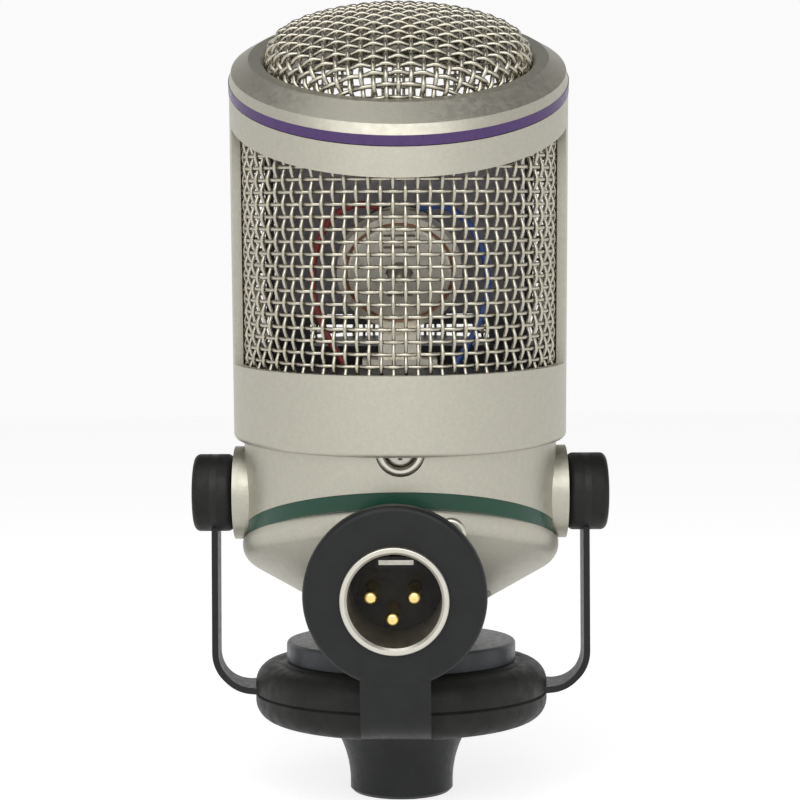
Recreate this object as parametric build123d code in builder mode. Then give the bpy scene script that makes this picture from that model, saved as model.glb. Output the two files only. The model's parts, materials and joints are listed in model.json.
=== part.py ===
from build123d import *
from math import cos, pi, radians, sin, sqrt, tan
import os

# Side-address moving-coil microphone in an elastic yoke mount on a stand adapter.
# Millimetres. +Z is up, the rear of the microphone faces -Y, and the origin is the
# centre of the stand thread's mouth. Heights named *_H run along the tilted
# microphone axis from the pivot; heights named *_Z are above the origin.

# ---- driving dimensions ----------------------------------------------------
PIVOT_Z = 57.0            # pivot line of the microphone above the thread's mouth
REST_TILT = 6.5           # the microphone leans back (towards -Y) by this angle at rest
TOP_SLANT = 21.3          # extra lean of the head's slanted top
BASE_SLANT = -22.5        # lean of the slanted plane under the body

HEAD_R = 31.6             # outside of the head frame
FRAME_WALL = 1.6
BELT_LOW_H = 11.1         # lower edge of the belt
WINDOW_LOW_H = 25.4       # upper edge of the belt, where the windows start
WINDOW_TOP_H = 71.6       # windows' upper edge, on the axis
RING_LOW_H = 77.0         # colour ring, on the axis
RING_TOP_H = 78.7
PILLAR_HALF_ANGLE = 14.0  # half of the angle each side pillar covers
RING_GAP = 0.2            # shadow line between the frame and the colour ring
RIM_HEIGHT = 3.9          # top rim above the colour ring, square to the slanted plane
RIM_FLAT_R = 27.9         # flat ring round the opening, before the rim slopes down
OPENING_R = 25.0          # opening in the top rim
DOME_SHIFT = -0.4         # the opening sits this far forward in the slanted plane
DOME_HEIGHT = 12.2        # crown of the dome mesh above the colour ring's plane
MESH_T = 1.1              # thickness of the woven mesh
MESH_R = HEAD_R - FRAME_WALL - 0.1

BODY_R = 29.7
BODY_WALL = 2.0
BODY_TOP_H = 20.0
BAND_TOP_H = -7.4         # green band, on the axis
BAND_LOW_H = -10.2
LOWER_R = 30.3            # lower shell, round about the slanted plane's normal
BOSS_R = 8.9              # flat pads round the pivots
BOSS_FACE_X = 31.6

CAPSULE_H = 43.4          # centre of the capsule
CAPSULE_LEAN = 25.0       # the capsule's front looks up by this angle
CAPSULE_BACK = 3.0        # capsule centre behind the microphone axis
CAPSULE_R = 11.65         # flange round the capsule's back
BARREL_R = 9.2            # narrower barrel in front of the flange

YOKE_T = 1.2
YOKE_FACE_X = 36.0        # outer faces of the yoke's arms
YOKE_LOW_Z = 19.2
YOKE_BEND_R = 7.4
YOKE_ARM_W = 6.2
YOKE_BASE_W = 13.0
EYE_R = 7.4
EYE_HOLE_R = 4.6
ISOLATOR_END_X = 39.4

ADAPTER_H = 14.7
THREAD_R = 7.45           # wall of the 5/8"-27 stand thread, at its minor diameter
THREAD_LENGTH = 11.5
PLATE_T = 1.2             # bracket plate
BASE_R = 27.8
BASE_LOW_Z = 14.0         # the base's lower edge reaches down past the bracket's foot
BASE_SEAT_Z = ADAPTER_H + PLATE_T
BASE_TOP_Z = 25.2
TOP_PLATE_R = 21.9
TOP_PLATE_Z = 28.8

CONNECTOR_LEAN = 6.0      # the connector's mouth looks down by this angle
CONNECTOR_TURN = 1.8      # and the bracket is turned by this angle about the base
DISC_Z = 40.6             # centre of the bracket's round head
DISC_BACK = 35.0          # its front face behind the base's axis
DISC_R = 16.0
DISC_T = 2.6
SHELL_R = 9.45            # XLR shell
SHELL_BORE_R = 8.2
SHELL_DROP = 0.4          # connector axis below the disc's centre

RUN = 0.05                # running clearance of a shaft in its bore

os.makedirs("parts", exist_ok=True)


# ---- frames ----------------------------------------------------------------
def mic_point(height, back=0.0):
    """Point at a height on the microphone axis, moved to the rear by back."""
    tilt = radians(REST_TILT)
    y = -height * sin(tilt) - back * cos(tilt)
    z = PIVOT_Z + height * cos(tilt) - back * sin(tilt)
    return Vector(0, y, z)


def mic_plane(height, lean=0.0):
    """Plane across the microphone axis; lean tips its normal further to the rear."""
    angle = radians(REST_TILT + lean)
    return Plane(origin=mic_point(height), x_dir=(1, 0, 0), z_dir=(0, -sin(angle), cos(angle)))


def mic_section(height, lean=0.0, back=0.0):
    """Plane along the axis, facing the rear: local X is across, local Y goes up the axis."""
    angle = radians(REST_TILT + lean)
    normal = (0, -cos(angle), -sin(angle))
    return Plane(origin=mic_point(height, back), x_dir=(1, 0, 0), z_dir=normal)


def plane_axis(plane):
    return Axis(plane.origin, plane.z_dir)


def up_axis(section):
    return Axis(section.origin, section.y_dir)


MIC_AXIS = plane_axis(mic_plane(0))
TOP_PLANE = mic_plane(RING_TOP_H, TOP_SLANT)
CAPSULE = mic_section(CAPSULE_H, CAPSULE_LEAN, CAPSULE_BACK)

REAR = Vector(-sin(radians(CONNECTOR_TURN)), -cos(radians(CONNECTOR_TURN)), 0)
ACROSS = Vector(cos(radians(CONNECTOR_TURN)), -sin(radians(CONNECTOR_TURN)), 0)
UP = Vector(0, 0, 1)
DISC = Plane(
    origin=REAR * DISC_BACK + UP * DISC_Z,
    x_dir=ACROSS,
    z_dir=REAR * cos(radians(CONNECTOR_LEAN)) - UP * sin(radians(CONNECTOR_LEAN)),
)
SOCKET = Plane(origin=DISC.from_local_coords((0, -SHELL_DROP, 0)), x_dir=DISC.x_dir, z_dir=DISC.z_dir)


# ---- shared shapes ---------------------------------------------------------
def tube(plane, outer_r, inner_r, low, high):
    """Round tube along a plane's normal; an inner radius of 0 makes a rod."""
    with BuildPart() as shape:
        with BuildSketch(plane.offset(low)):
            Circle(outer_r)
            if inner_r > 0:
                Circle(inner_r, mode=Mode.SUBTRACT)
        extrude(amount=high - low)
    return shape.part


def side_plane(side, x):
    """Plane facing outwards along the pivot line, x from the middle; side is +1 or -1."""
    return Plane(origin=(side * x, 0, PIVOT_Z), x_dir=(0, side, 0), z_dir=(side, 0, 0))


def save(part, name):
    part.label = name
    export_step(part, f"parts/{name}.step")


def group(parts):
    return Compound(children=list(parts))


# ---- stand adapter and the bolt that holds the base ------------------------
ADAPTER_R = 9.8
COLLAR_H = 1.8            # straight collar under the flare
FLARE_R = 14.4
BOLT_R = 3.0

with BuildPart() as stand_adapter:
    with BuildSketch(Plane.XZ):
        with BuildLine():
            Polyline((0, 0), (ADAPTER_R - 0.6, 0), (ADAPTER_R, 0.6), (ADAPTER_R, COLLAR_H))
            TangentArc((ADAPTER_R, COLLAR_H), (FLARE_R, ADAPTER_H - 0.5), tangent=(0, 1))
            Polyline((FLARE_R, ADAPTER_H - 0.5), (FLARE_R - 0.4, ADAPTER_H), (0, ADAPTER_H), (0, 0))
        make_face()
    revolve(axis=Axis.Z)
    with BuildSketch(Plane.XY):
        Circle(THREAD_R)
    extrude(amount=THREAD_LENGTH, mode=Mode.SUBTRACT)
    with BuildSketch(Plane.XY):
        Circle(BOLT_R)
    extrude(amount=ADAPTER_H, mode=Mode.SUBTRACT)
save(stand_adapter.part, "stand_adapter")

BOLT_HEAD_R = 5.2
BOLT_HEAD_Z = TOP_PLATE_Z + 0.05
BOLT_HEAD_T = 2.8

with BuildPart() as base_bolt:
    with BuildSketch(Plane.XY.offset(THREAD_LENGTH + 0.2)):
        Circle(BOLT_R - 0.02)
    extrude(amount=BOLT_HEAD_Z - THREAD_LENGTH - 0.2)
    with BuildSketch(Plane.XY.offset(BOLT_HEAD_Z)):
        Circle(BOLT_HEAD_R)
    extrude(amount=BOLT_HEAD_T)
    fillet(base_bolt.edges().filter_by(GeomType.CIRCLE).sort_by(Axis.Z)[-1], radius=1.6)
    with BuildSketch(Plane.XY.offset(BOLT_HEAD_Z + BOLT_HEAD_T)):
        RegularPolygon(2.3, 6)
    extrude(amount=-2.0, mode=Mode.SUBTRACT)
save(base_bolt.part, "base_bolt")


# ---- rubber base in two halves, with the metal plate on top ------------------
BOLT_HOLE_R = BOLT_R + 0.3
CROWN_Z = 21.0            # where the upper half starts to curve in
SEAM = 0.3                # chamfer on both halves, which makes the groove between them
FOOT_POCKET_R = 15.0      # pocket over the adapter's flare and the bracket's foot
STRAP_W = 12.3

with BuildPart() as rubber_base_lower:
    with BuildSketch(Plane.XY.offset(BASE_LOW_Z)):
        Circle(BASE_R)
    extrude(amount=YOKE_LOW_Z - BASE_LOW_Z)
    fillet(rubber_base_lower.edges().group_by(Axis.Z)[0], radius=3.8)
    chamfer(rubber_base_lower.edges().group_by(Axis.Z)[-1], length=SEAM)
    with BuildSketch(Plane.XY.offset(BASE_LOW_Z)):
        Circle(FOOT_POCKET_R)
        with Locations(REAR * BASE_R):
            Rectangle(STRAP_W + 0.4, 2 * BASE_R, rotation=-CONNECTOR_TURN)
    extrude(amount=BASE_SEAT_Z - BASE_LOW_Z, mode=Mode.SUBTRACT)
    with BuildSketch(Plane.XY.offset(BASE_LOW_Z)):
        Circle(BOLT_HOLE_R)
    extrude(amount=YOKE_LOW_Z - BASE_LOW_Z, mode=Mode.SUBTRACT)
save(rubber_base_lower.part, "rubber_base_lower")

with BuildPart() as rubber_base_upper:
    with BuildSketch(Plane.XZ):
        with BuildLine():
            Polyline(
                (BOLT_HOLE_R, BASE_TOP_Z), (BOLT_HOLE_R, YOKE_LOW_Z), (BASE_R - SEAM, YOKE_LOW_Z),
                (BASE_R, YOKE_LOW_Z + SEAM), (BASE_R, CROWN_Z),
            )
            crown = TangentArc((BASE_R, CROWN_Z), (TOP_PLATE_R + 0.9, BASE_TOP_Z - 0.5), tangent=(0, 1))
            Polyline(crown @ 1, (TOP_PLATE_R - 0.6, BASE_TOP_Z), (BOLT_HOLE_R, BASE_TOP_Z))
        make_face()
    revolve(axis=Axis.Z)
    with BuildSketch(Plane.XY.offset(YOKE_LOW_Z)):
        Rectangle(4 * BASE_R, YOKE_BASE_W + 0.2)
    extrude(amount=YOKE_T, mode=Mode.SUBTRACT)
save(rubber_base_upper.part, "rubber_base_upper")

with BuildPart() as base_top_plate:
    with BuildSketch(Plane.XY.offset(BASE_TOP_Z)):
        Circle(TOP_PLATE_R)
        Circle(BOLT_R + RUN, mode=Mode.SUBTRACT)
    extrude(amount=TOP_PLATE_Z - BASE_TOP_Z)
    upper_edges = base_top_plate.edges().group_by(Axis.Z)[-1]
    fillet(upper_edges.sort_by(SortBy.RADIUS)[-1], radius=0.7)
save(base_top_plate.part, "base_top_plate")


# ---- yoke: a bent strip that widens where it enters the base -------------------
INNER_FACE_X = YOKE_FACE_X - YOKE_T
BEND_Z = YOKE_LOW_Z + YOKE_BEND_R
BEND_X = YOKE_FACE_X - YOKE_BEND_R
SHOULDER_X = YOKE_FACE_X - 2.4
SHOULDER_RUN = 6.5        # length over which the strip narrows to its arms

with BuildPart() as yoke:
    with BuildSketch(Plane.XZ):
        with BuildLine():
            Polyline((0, YOKE_LOW_Z), (BEND_X, YOKE_LOW_Z))
            RadiusArc((BEND_X, YOKE_LOW_Z), (YOKE_FACE_X, BEND_Z), -YOKE_BEND_R)
            Polyline(
                (YOKE_FACE_X, BEND_Z), (YOKE_FACE_X, PIVOT_Z), (INNER_FACE_X, PIVOT_Z), (INNER_FACE_X, BEND_Z)
            )
            RadiusArc((INNER_FACE_X, BEND_Z), (BEND_X, YOKE_LOW_Z + YOKE_T), YOKE_BEND_R - YOKE_T)
            Polyline((BEND_X, YOKE_LOW_Z + YOKE_T), (0, YOKE_LOW_Z + YOKE_T), (0, YOKE_LOW_Z))
        make_face()
        mirror(about=Plane.YZ)
    extrude(amount=YOKE_BASE_W / 2, both=True)
    # The strip is cut narrower from the shoulders outwards, which leaves the arms.
    with BuildSketch(Plane.XY):
        with BuildLine():
            Polyline(
                (SHOULDER_X, YOKE_ARM_W / 2), (2 * YOKE_FACE_X, YOKE_ARM_W / 2),
                (2 * YOKE_FACE_X, YOKE_BASE_W), (SHOULDER_X - SHOULDER_RUN, YOKE_BASE_W),
                (SHOULDER_X - SHOULDER_RUN, YOKE_BASE_W / 2), (SHOULDER_X, YOKE_ARM_W / 2),
            )
        make_face()
        mirror(about=Plane.XZ)
        mirror(about=Plane.YZ)
    extrude(amount=2 * PIVOT_Z, mode=Mode.SUBTRACT)
    for side in (-1, 1):
        with BuildSketch(side_plane(side, INNER_FACE_X)):
            Circle(EYE_R)
        extrude(amount=YOKE_T)
        with BuildSketch(side_plane(side, INNER_FACE_X)):
            Circle(EYE_HOLE_R)
        extrude(amount=YOKE_T, mode=Mode.SUBTRACT)
    with BuildSketch(Plane.XY.offset(YOKE_LOW_Z)):
        Circle(BOLT_R + 0.2)
    extrude(amount=YOKE_T, mode=Mode.SUBTRACT)
save(yoke.part, "yoke")


# ---- bracket that carries the connector --------------------------------------
FOOT_R = 13.0
STRAP_BEND_R = 6.4
STRAP_LAP = 3.0           # the strap runs this far up behind the round head

with BuildPart() as connector_bracket:
    with BuildSketch(DISC.offset(-DISC_T)):
        Circle(DISC_R)
    extrude(amount=DISC_T)
    fillet(connector_bracket.edges().sort_by(plane_axis(DISC))[-1], radius=1.1)
    strap_plane = Plane(origin=(0, 0, 0), x_dir=REAR, z_dir=REAR.cross(UP))
    mid_z = ADAPTER_H + PLATE_T / 2
    strap_back = DISC_BACK - PLATE_T / 2 - 0.3
    slope = tan(radians(CONNECTOR_LEAN))
    with BuildSketch(strap_plane):
        with BuildLine():
            FilletPolyline(
                (0, mid_z),
                (strap_back - slope * (DISC_Z - mid_z), mid_z),
                (strap_back - slope * (DISC_R - STRAP_LAP), DISC_Z - DISC_R + STRAP_LAP),
                radius=STRAP_BEND_R,
            )
        trace(line_width=PLATE_T)
    extrude(amount=STRAP_W / 2, both=True)
    with BuildSketch(Plane.XY.offset(ADAPTER_H)):
        Circle(FOOT_R)
    extrude(amount=PLATE_T)
    with BuildSketch(Plane.XY.offset(ADAPTER_H)):
        Circle(BOLT_R + RUN)
    extrude(amount=PLATE_T, mode=Mode.SUBTRACT)
    with BuildSketch(SOCKET.offset(-DISC_T)):
        Circle(SHELL_R)
    extrude(amount=DISC_T, mode=Mode.SUBTRACT)
save(connector_bracket.part, "connector_bracket")


# ---- XLR connector -----------------------------------------------------------
RIM_PROUD = 1.3
INSERT_FACE = -12.2       # from the disc's front, along the connector
INSERT_T = 3.4
PIN_R = 1.2
PIN_PITCH = 7.62
PIN_LENGTH = 9.4          # in front of the insert
PIN_TAIL = 1.8            # solder end behind it
PIN_LOW = -0.3            # the two upper pins lie this far below the axis
PIN_SHIFT = -0.5          # and the three sit this far off the middle
PIN_DIMPLE = 0.3          # turning centre in each tip: radius and depth
TAB_W = 6.2
TAB_T = 0.9
TAB_UP = 4.85             # earth contact above the connector's axis
TAB_LENGTH = 3.5          # how far it stands out of the insert's face
TAB_BLOCK = 0.6           # width of the insert's collar round it
PINS = [
    (PIN_SHIFT - PIN_PITCH / 2, PIN_LOW),
    (PIN_SHIFT + PIN_PITCH / 2, PIN_LOW),
    (PIN_SHIFT, PIN_LOW - PIN_PITCH / 2),
]

with BuildPart() as xlr_shell:
    with BuildSketch(SOCKET.offset(INSERT_FACE - INSERT_T)):
        Circle(SHELL_R)
        Circle(SHELL_BORE_R, mode=Mode.SUBTRACT)
    extrude(amount=RIM_PROUD - INSERT_FACE + INSERT_T)
    mouth = xlr_shell.edges().filter_by(GeomType.CIRCLE).group_by(plane_axis(SOCKET))[-1]
    chamfer(mouth.sort_by(SortBy.RADIUS)[0], length=0.4)
    fillet(mouth.sort_by(SortBy.RADIUS)[-1], radius=0.3)
save(xlr_shell.part, "xlr_shell")

save(tube(SOCKET, SHELL_R + 1.9, SHELL_R, -DISC_T - 2.0, -DISC_T), "xlr_lock_ring")

with BuildPart() as xlr_insert:
    with BuildSketch(SOCKET.offset(INSERT_FACE - INSERT_T)):
        Circle(SHELL_BORE_R)
        with PolarLocations(SHELL_BORE_R, 1, start_angle=42):
            Rectangle(1.6, 1.5, mode=Mode.SUBTRACT)
        with Locations(*PINS):
            Circle(PIN_R, mode=Mode.SUBTRACT)
        with Locations((0, TAB_UP)):
            Rectangle(TAB_W, TAB_T, mode=Mode.SUBTRACT)
    extrude(amount=INSERT_T)
    with BuildSketch(SOCKET.offset(INSERT_FACE)):
        with Locations((0, TAB_UP)):
            Rectangle(TAB_W + 2 * TAB_BLOCK, TAB_T + 2 * TAB_BLOCK)
            Rectangle(TAB_W, TAB_T, mode=Mode.SUBTRACT)
    extrude(amount=TAB_LENGTH - 0.1)
save(xlr_insert.part, "xlr_insert")

with BuildPart() as xlr_pins:
    with BuildSketch(SOCKET.offset(INSERT_FACE - INSERT_T - PIN_TAIL)):
        with Locations(*PINS):
            Circle(PIN_R - 0.02)
    extrude(amount=PIN_TAIL + INSERT_T + PIN_LENGTH)
    tips = xlr_pins.edges().filter_by(GeomType.CIRCLE).group_by(plane_axis(SOCKET))[-1]
    fillet(tips, radius=0.8)
    with BuildSketch(SOCKET.offset(INSERT_FACE + PIN_LENGTH)):
        with Locations(*PINS):
            Circle(PIN_DIMPLE)
    extrude(amount=-PIN_DIMPLE, mode=Mode.SUBTRACT)
save(xlr_pins.part, "xlr_pins")

with BuildPart() as xlr_ground_tab:
    with BuildSketch(SOCKET.offset(INSERT_FACE - INSERT_T)):
        with Locations((0, TAB_UP)):
            Rectangle(TAB_W - 0.04, TAB_T - 0.04)
    extrude(amount=INSERT_T + TAB_LENGTH)
save(xlr_ground_tab.part, "xlr_ground_tab")


# ---- pivots: bosses, isolators, sleeves and screws -----------------------------
SCREW_R = 2.0
SLEEVE_R = 3.0
SPIGOT_R = 4.5
ISOLATOR_GAP = 0.3
HEAD_SEAT_X = 37.2

for side, hand in ((-1, "left"), (1, "right")):
    pivot = side_plane(side, 0)

    save(tube(pivot, BOSS_R, SCREW_R, BODY_R - BODY_WALL, BOSS_FACE_X), f"pivot_boss_{hand}")

    with BuildPart() as isolator_inner:
        with BuildSketch(pivot.offset(BOSS_FACE_X + ISOLATOR_GAP)):
            Circle(EYE_R)
        extrude(amount=INNER_FACE_X - BOSS_FACE_X - ISOLATOR_GAP)
        with BuildSketch(pivot.offset(INNER_FACE_X)):
            Circle(SPIGOT_R)
        extrude(amount=YOKE_T)
        inner_rim = isolator_inner.edges().filter_by(GeomType.CIRCLE).sort_by(plane_axis(pivot))[0]
        fillet(inner_rim, radius=1.2)
        with BuildSketch(pivot.offset(BOSS_FACE_X)):
            Circle(SLEEVE_R)
        extrude(amount=10, mode=Mode.SUBTRACT)
    save(isolator_inner.part, f"isolator_inner_{hand}")

    with BuildPart() as isolator_outer:
        with BuildSketch(pivot.offset(YOKE_FACE_X)):
            Circle(EYE_R)
        extrude(amount=ISOLATOR_END_X - YOKE_FACE_X)
        outer_rim = isolator_outer.edges().filter_by(GeomType.CIRCLE).sort_by(plane_axis(pivot))[-1]
        fillet(outer_rim, radius=1.2)
        with BuildSketch(pivot.offset(YOKE_FACE_X)):
            Circle(SLEEVE_R)
        extrude(amount=10, mode=Mode.SUBTRACT)
        with BuildSketch(pivot.offset(HEAD_SEAT_X - 0.2)):
            Circle(4.4)
        extrude(amount=10, mode=Mode.SUBTRACT)
    save(isolator_outer.part, f"isolator_outer_{hand}")

    sleeve = tube(pivot, SLEEVE_R - 0.02, SCREW_R + RUN, BOSS_FACE_X + 0.1, HEAD_SEAT_X - 0.1)
    save(sleeve, f"pivot_sleeve_{hand}")


def pivot_screw(side):
    """Pan-head screw along the pivot line, with a cross recess."""
    plane = side_plane(side, 0)
    with BuildPart() as screw:
        with BuildSketch(plane.offset(BODY_R - BODY_WALL - 1.5)):
            Circle(SCREW_R - 0.02)
        extrude(amount=HEAD_SEAT_X - BODY_R + BODY_WALL + 1.5)
        with BuildSketch(plane.offset(HEAD_SEAT_X)):
            Circle(3.9)
        extrude(amount=1.9)
        rim = screw.edges().filter_by(GeomType.CIRCLE).sort_by(plane_axis(plane))[-1]
        fillet(rim, radius=0.8)
        with BuildSketch(plane.offset(HEAD_SEAT_X + 1.9)):
            Rectangle(3.6, 0.8)
            Rectangle(0.8, 3.6)
        extrude(amount=-1.2, mode=Mode.SUBTRACT)
    return screw.part


save(group(pivot_screw(side) for side in (-1, 1)), "pivot_screws")


# ---- body shell, green band and lower shell -------------------------------------
SPIGOT_OUT_R = HEAD_R - FRAME_WALL - 0.05
REAR_SCREW_H = 11.9
BUSH_R = 4.0
BUSH_GAP = 0.35           # visible gap round the bush in the body's hole
BUSH_BORE_R = 2.9
BUSH_FLANGE_R = 5.6       # flange behind the body's wall
BUSH_SEAT = 27.0
BUSH_FACE = 29.65
REAR_SCREW = mic_section(REAR_SCREW_H)


def boss_clearance():
    """Both pivot bosses' envelope, cut from the shells they pass through."""
    with BuildPart() as envelope:
        for side in (-1, 1):
            with BuildSketch(side_plane(side, BODY_R - BODY_WALL - 5)):
                Circle(BOSS_R)
            extrude(amount=20)
    return envelope.part


BOSSES = boss_clearance()

with BuildPart() as body_shell:
    with BuildSketch(mic_plane(-30)):
        Circle(BODY_R)
    extrude(amount=30 + BODY_TOP_H)
    with BuildSketch(mic_plane(BELT_LOW_H + 1.6)):
        Circle(SPIGOT_OUT_R)
    extrude(amount=5)
    with BuildSketch(mic_plane(-30)):
        Circle(BODY_R - BODY_WALL)
    extrude(amount=60, mode=Mode.SUBTRACT)
    split(bisect_by=mic_plane(BAND_TOP_H, BASE_SLANT), keep=Keep.TOP)
    add(BOSSES, mode=Mode.SUBTRACT)
    with BuildSketch(REAR_SCREW):
        Circle(BUSH_R + BUSH_GAP)
    extrude(amount=40, mode=Mode.SUBTRACT)
save(body_shell.part, "body_shell")

with BuildPart() as id_band:
    with BuildSketch(mic_plane(-30)):
        Circle(BODY_R - 0.15)
        Circle(BODY_R - BODY_WALL, mode=Mode.SUBTRACT)
    extrude(amount=60)
    split(bisect_by=mic_plane(BAND_TOP_H, BASE_SLANT), keep=Keep.BOTTOM)
    split(bisect_by=mic_plane(BAND_LOW_H, BASE_SLANT), keep=Keep.TOP)
    add(BOSSES, mode=Mode.SUBTRACT)
save(id_band.part, "id_band")

LOWER = mic_section(BAND_LOW_H, BASE_SLANT)
FLAT_R = 17.3             # flat under the cone
CONE_LOW = -9.9
CONE_TOP = -2.5
LOWER_WALL = 2.6
POCKET_R = 12.8           # relief that lets the body tilt over the connector
POCKET_END = -24.5


def lower_profile(inset, top):
    """Solid of the lower shell's outline, drawn in by inset."""
    with BuildPart() as shape:
        with BuildSketch(LOWER):
            with BuildLine():
                Polyline(
                    (0, top), (LOWER_R - inset, top), (LOWER_R - inset, CONE_TOP + 0.4 * inset),
                    (FLAT_R - 0.6 * inset, CONE_LOW + inset), (0, CONE_LOW + inset), (0, top),
                )
            make_face()
        revolve(axis=up_axis(LOWER))
        rings = shape.edges().filter_by(GeomType.CIRCLE).group_by(SortBy.RADIUS)[-1]
        fillet(rings.sort_by(up_axis(LOWER))[0], radius=3.6)
    return shape.part


GLAND_R = 2.8
GLAND_BORE_R = 1.5
GLAND_DIP = radians(5)    # the gland points to the rear and down by this angle
GLAND = Plane(origin=(8.7, -16.0, 52.0), x_dir=(1, 0, 0), z_dir=(0, -cos(GLAND_DIP), -sin(GLAND_DIP)))
GLAND_LENGTH = 12.2

with BuildPart() as cable_gland:
    with BuildSketch(GLAND):
        Circle(GLAND_R)
    extrude(amount=GLAND_LENGTH)
    fillet(cable_gland.edges().sort_by(plane_axis(GLAND))[-1], radius=0.6)
    with BuildSketch(GLAND):
        Circle(GLAND_BORE_R)
    extrude(amount=GLAND_LENGTH, mode=Mode.SUBTRACT)
save(cable_gland.part, "cable_gland")

with BuildPart() as lower_shell:
    add(lower_profile(0, 0))
    cavity = lower_profile(LOWER_WALL, 1) - tube(SOCKET, POCKET_R + 2, 0, POCKET_END - 2, 5)
    add(cavity, mode=Mode.SUBTRACT)
    add(tube(SOCKET, POCKET_R, 0, POCKET_END, 5), mode=Mode.SUBTRACT)
    add(BOSSES, mode=Mode.SUBTRACT)
    add(tube(GLAND, GLAND_R, 0, -1, 20), mode=Mode.SUBTRACT)
save(lower_shell.part, "lower_shell")

with BuildPart() as rear_bush:
    add(tube(REAR_SCREW, BUSH_FLANGE_R, BUSH_BORE_R, BUSH_SEAT - 1.2, BUSH_SEAT))
    add(tube(REAR_SCREW, BUSH_R, BUSH_BORE_R, BUSH_SEAT, BUSH_FACE))
    bush_rims = rear_bush.edges().filter_by(GeomType.CIRCLE).group_by(plane_axis(REAR_SCREW))[-1]
    chamfer(bush_rims, length=0.3)
save(rear_bush.part, "rear_bush")

REAR_SCREW_SEAT = 25.5    # underside of the screw's head, from the microphone's axis
REAR_SCREW_HEAD_T = 2.5

with BuildPart() as rear_screw:
    with BuildSketch(REAR_SCREW.offset(REAR_SCREW_SEAT - 5)):
        Circle(1.5)
    extrude(amount=5)
    with BuildSketch(REAR_SCREW.offset(REAR_SCREW_SEAT)):
        Circle(BUSH_BORE_R - 0.05)
    extrude(amount=REAR_SCREW_HEAD_T)
    rim = rear_screw.edges().filter_by(GeomType.CIRCLE).sort_by(plane_axis(REAR_SCREW))[-1]
    fillet(rim, radius=0.7)
    with BuildSketch(REAR_SCREW.offset(REAR_SCREW_SEAT + REAR_SCREW_HEAD_T)):
        Rectangle(3.2, 0.7)
        Rectangle(0.7, 3.2)
    extrude(amount=-1.2, mode=Mode.SUBTRACT)
save(rear_screw.part, "rear_screw")


# ---- head: frame, meshes, colour ring and top rim --------------------------------
def windows():
    """Front and rear window openings, cut off at the slanted upper edge."""
    near = 4.0
    far = 50.0
    slope = tan(radians(PILLAR_HALF_ANGLE))
    with BuildPart() as cutter:
        with BuildSketch(mic_plane(WINDOW_LOW_H)):
            with BuildLine():
                Polyline(
                    (-near / slope, -near), (near / slope, -near), (far, -far * slope), (far, -60),
                    (-far, -60), (-far, -far * slope), (-near / slope, -near),
                )
            make_face()
            mirror(about=Plane.XZ)
        extrude(amount=90)
        split(bisect_by=mic_plane(WINDOW_TOP_H, TOP_SLANT), keep=Keep.BOTTOM)
    return cutter.part


with BuildPart() as head_frame:
    with BuildSketch(mic_plane(BELT_LOW_H)):
        Circle(HEAD_R)
        Circle(HEAD_R - FRAME_WALL, mode=Mode.SUBTRACT)
    extrude(amount=100)
    fillet(head_frame.edges().group_by(MIC_AXIS)[0].sort_by(SortBy.RADIUS)[-1], radius=0.9)
    split(bisect_by=mic_plane(RING_LOW_H - RING_GAP, TOP_SLANT), keep=Keep.BOTTOM)
    add(windows(), mode=Mode.SUBTRACT)
save(head_frame.part, "head_frame")


def slanted_tube(outer_r, inner_r, low, high):
    """Tube about the microphone axis, cut by two planes parallel to the slanted top."""
    with BuildPart() as shape:
        with BuildSketch(mic_plane(30)):
            Circle(outer_r)
            Circle(inner_r, mode=Mode.SUBTRACT)
        extrude(amount=90)
        split(bisect_by=mic_plane(low, TOP_SLANT), keep=Keep.TOP)
        split(bisect_by=mic_plane(high, TOP_SLANT), keep=Keep.BOTTOM)
    return shape.part


save(slanted_tube(HEAD_R + 0.12, HEAD_R - 2.8, RING_LOW_H, RING_TOP_H), "colour_ring")

with BuildPart() as side_mesh:
    with BuildSketch(mic_plane(BODY_TOP_H + 1)):
        Circle(MESH_R)
        Circle(MESH_R - MESH_T, mode=Mode.SUBTRACT)
    extrude(amount=90)
    split(bisect_by=mic_plane(RING_LOW_H, TOP_SLANT), keep=Keep.BOTTOM)
save(side_mesh.part, "side_mesh")

BEVEL = 1.6
slant = radians(TOP_SLANT)

with BuildPart() as top_rim:
    with BuildSketch(TOP_PLANE):
        Ellipse(HEAD_R, HEAD_R / cos(slant))
    with BuildSketch(TOP_PLANE.offset(BEVEL)):
        with Locations((0, BEVEL * tan(slant))):
            Ellipse(HEAD_R - 0.4, HEAD_R / cos(slant) - 0.6)
    loft(ruled=True)
    with BuildSketch(TOP_PLANE.offset(BEVEL)):
        with Locations((0, BEVEL * tan(slant))):
            Ellipse(HEAD_R - 0.4, HEAD_R / cos(slant) - 0.6)
    with BuildSketch(TOP_PLANE.offset(RIM_HEIGHT)):
        Circle(RIM_FLAT_R)
    loft(ruled=True)
    with BuildSketch(TOP_PLANE):
        with Locations((0, DOME_SHIFT)):
            Circle(OPENING_R)
    extrude(amount=RIM_HEIGHT, mode=Mode.SUBTRACT)
    with BuildSketch(TOP_PLANE.offset(RIM_HEIGHT - 0.7)):
        with Locations((0, DOME_SHIFT)):
            Circle(OPENING_R)
    with BuildSketch(TOP_PLANE.offset(RIM_HEIGHT)):
        with Locations((0, DOME_SHIFT)):
            Circle(OPENING_R + 0.6)
    loft(mode=Mode.SUBTRACT)
save(top_rim.part, "top_rim")

CROWN_R = 64.0
KNUCKLE_R = 5.0
DOME_BASE_R = OPENING_R - 0.1
DOME = Plane(
    origin=TOP_PLANE.from_local_coords((0, DOME_SHIFT, 0)),
    x_dir=(1, 0, 0),
    z_dir=-TOP_PLANE.y_dir,
)


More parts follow.
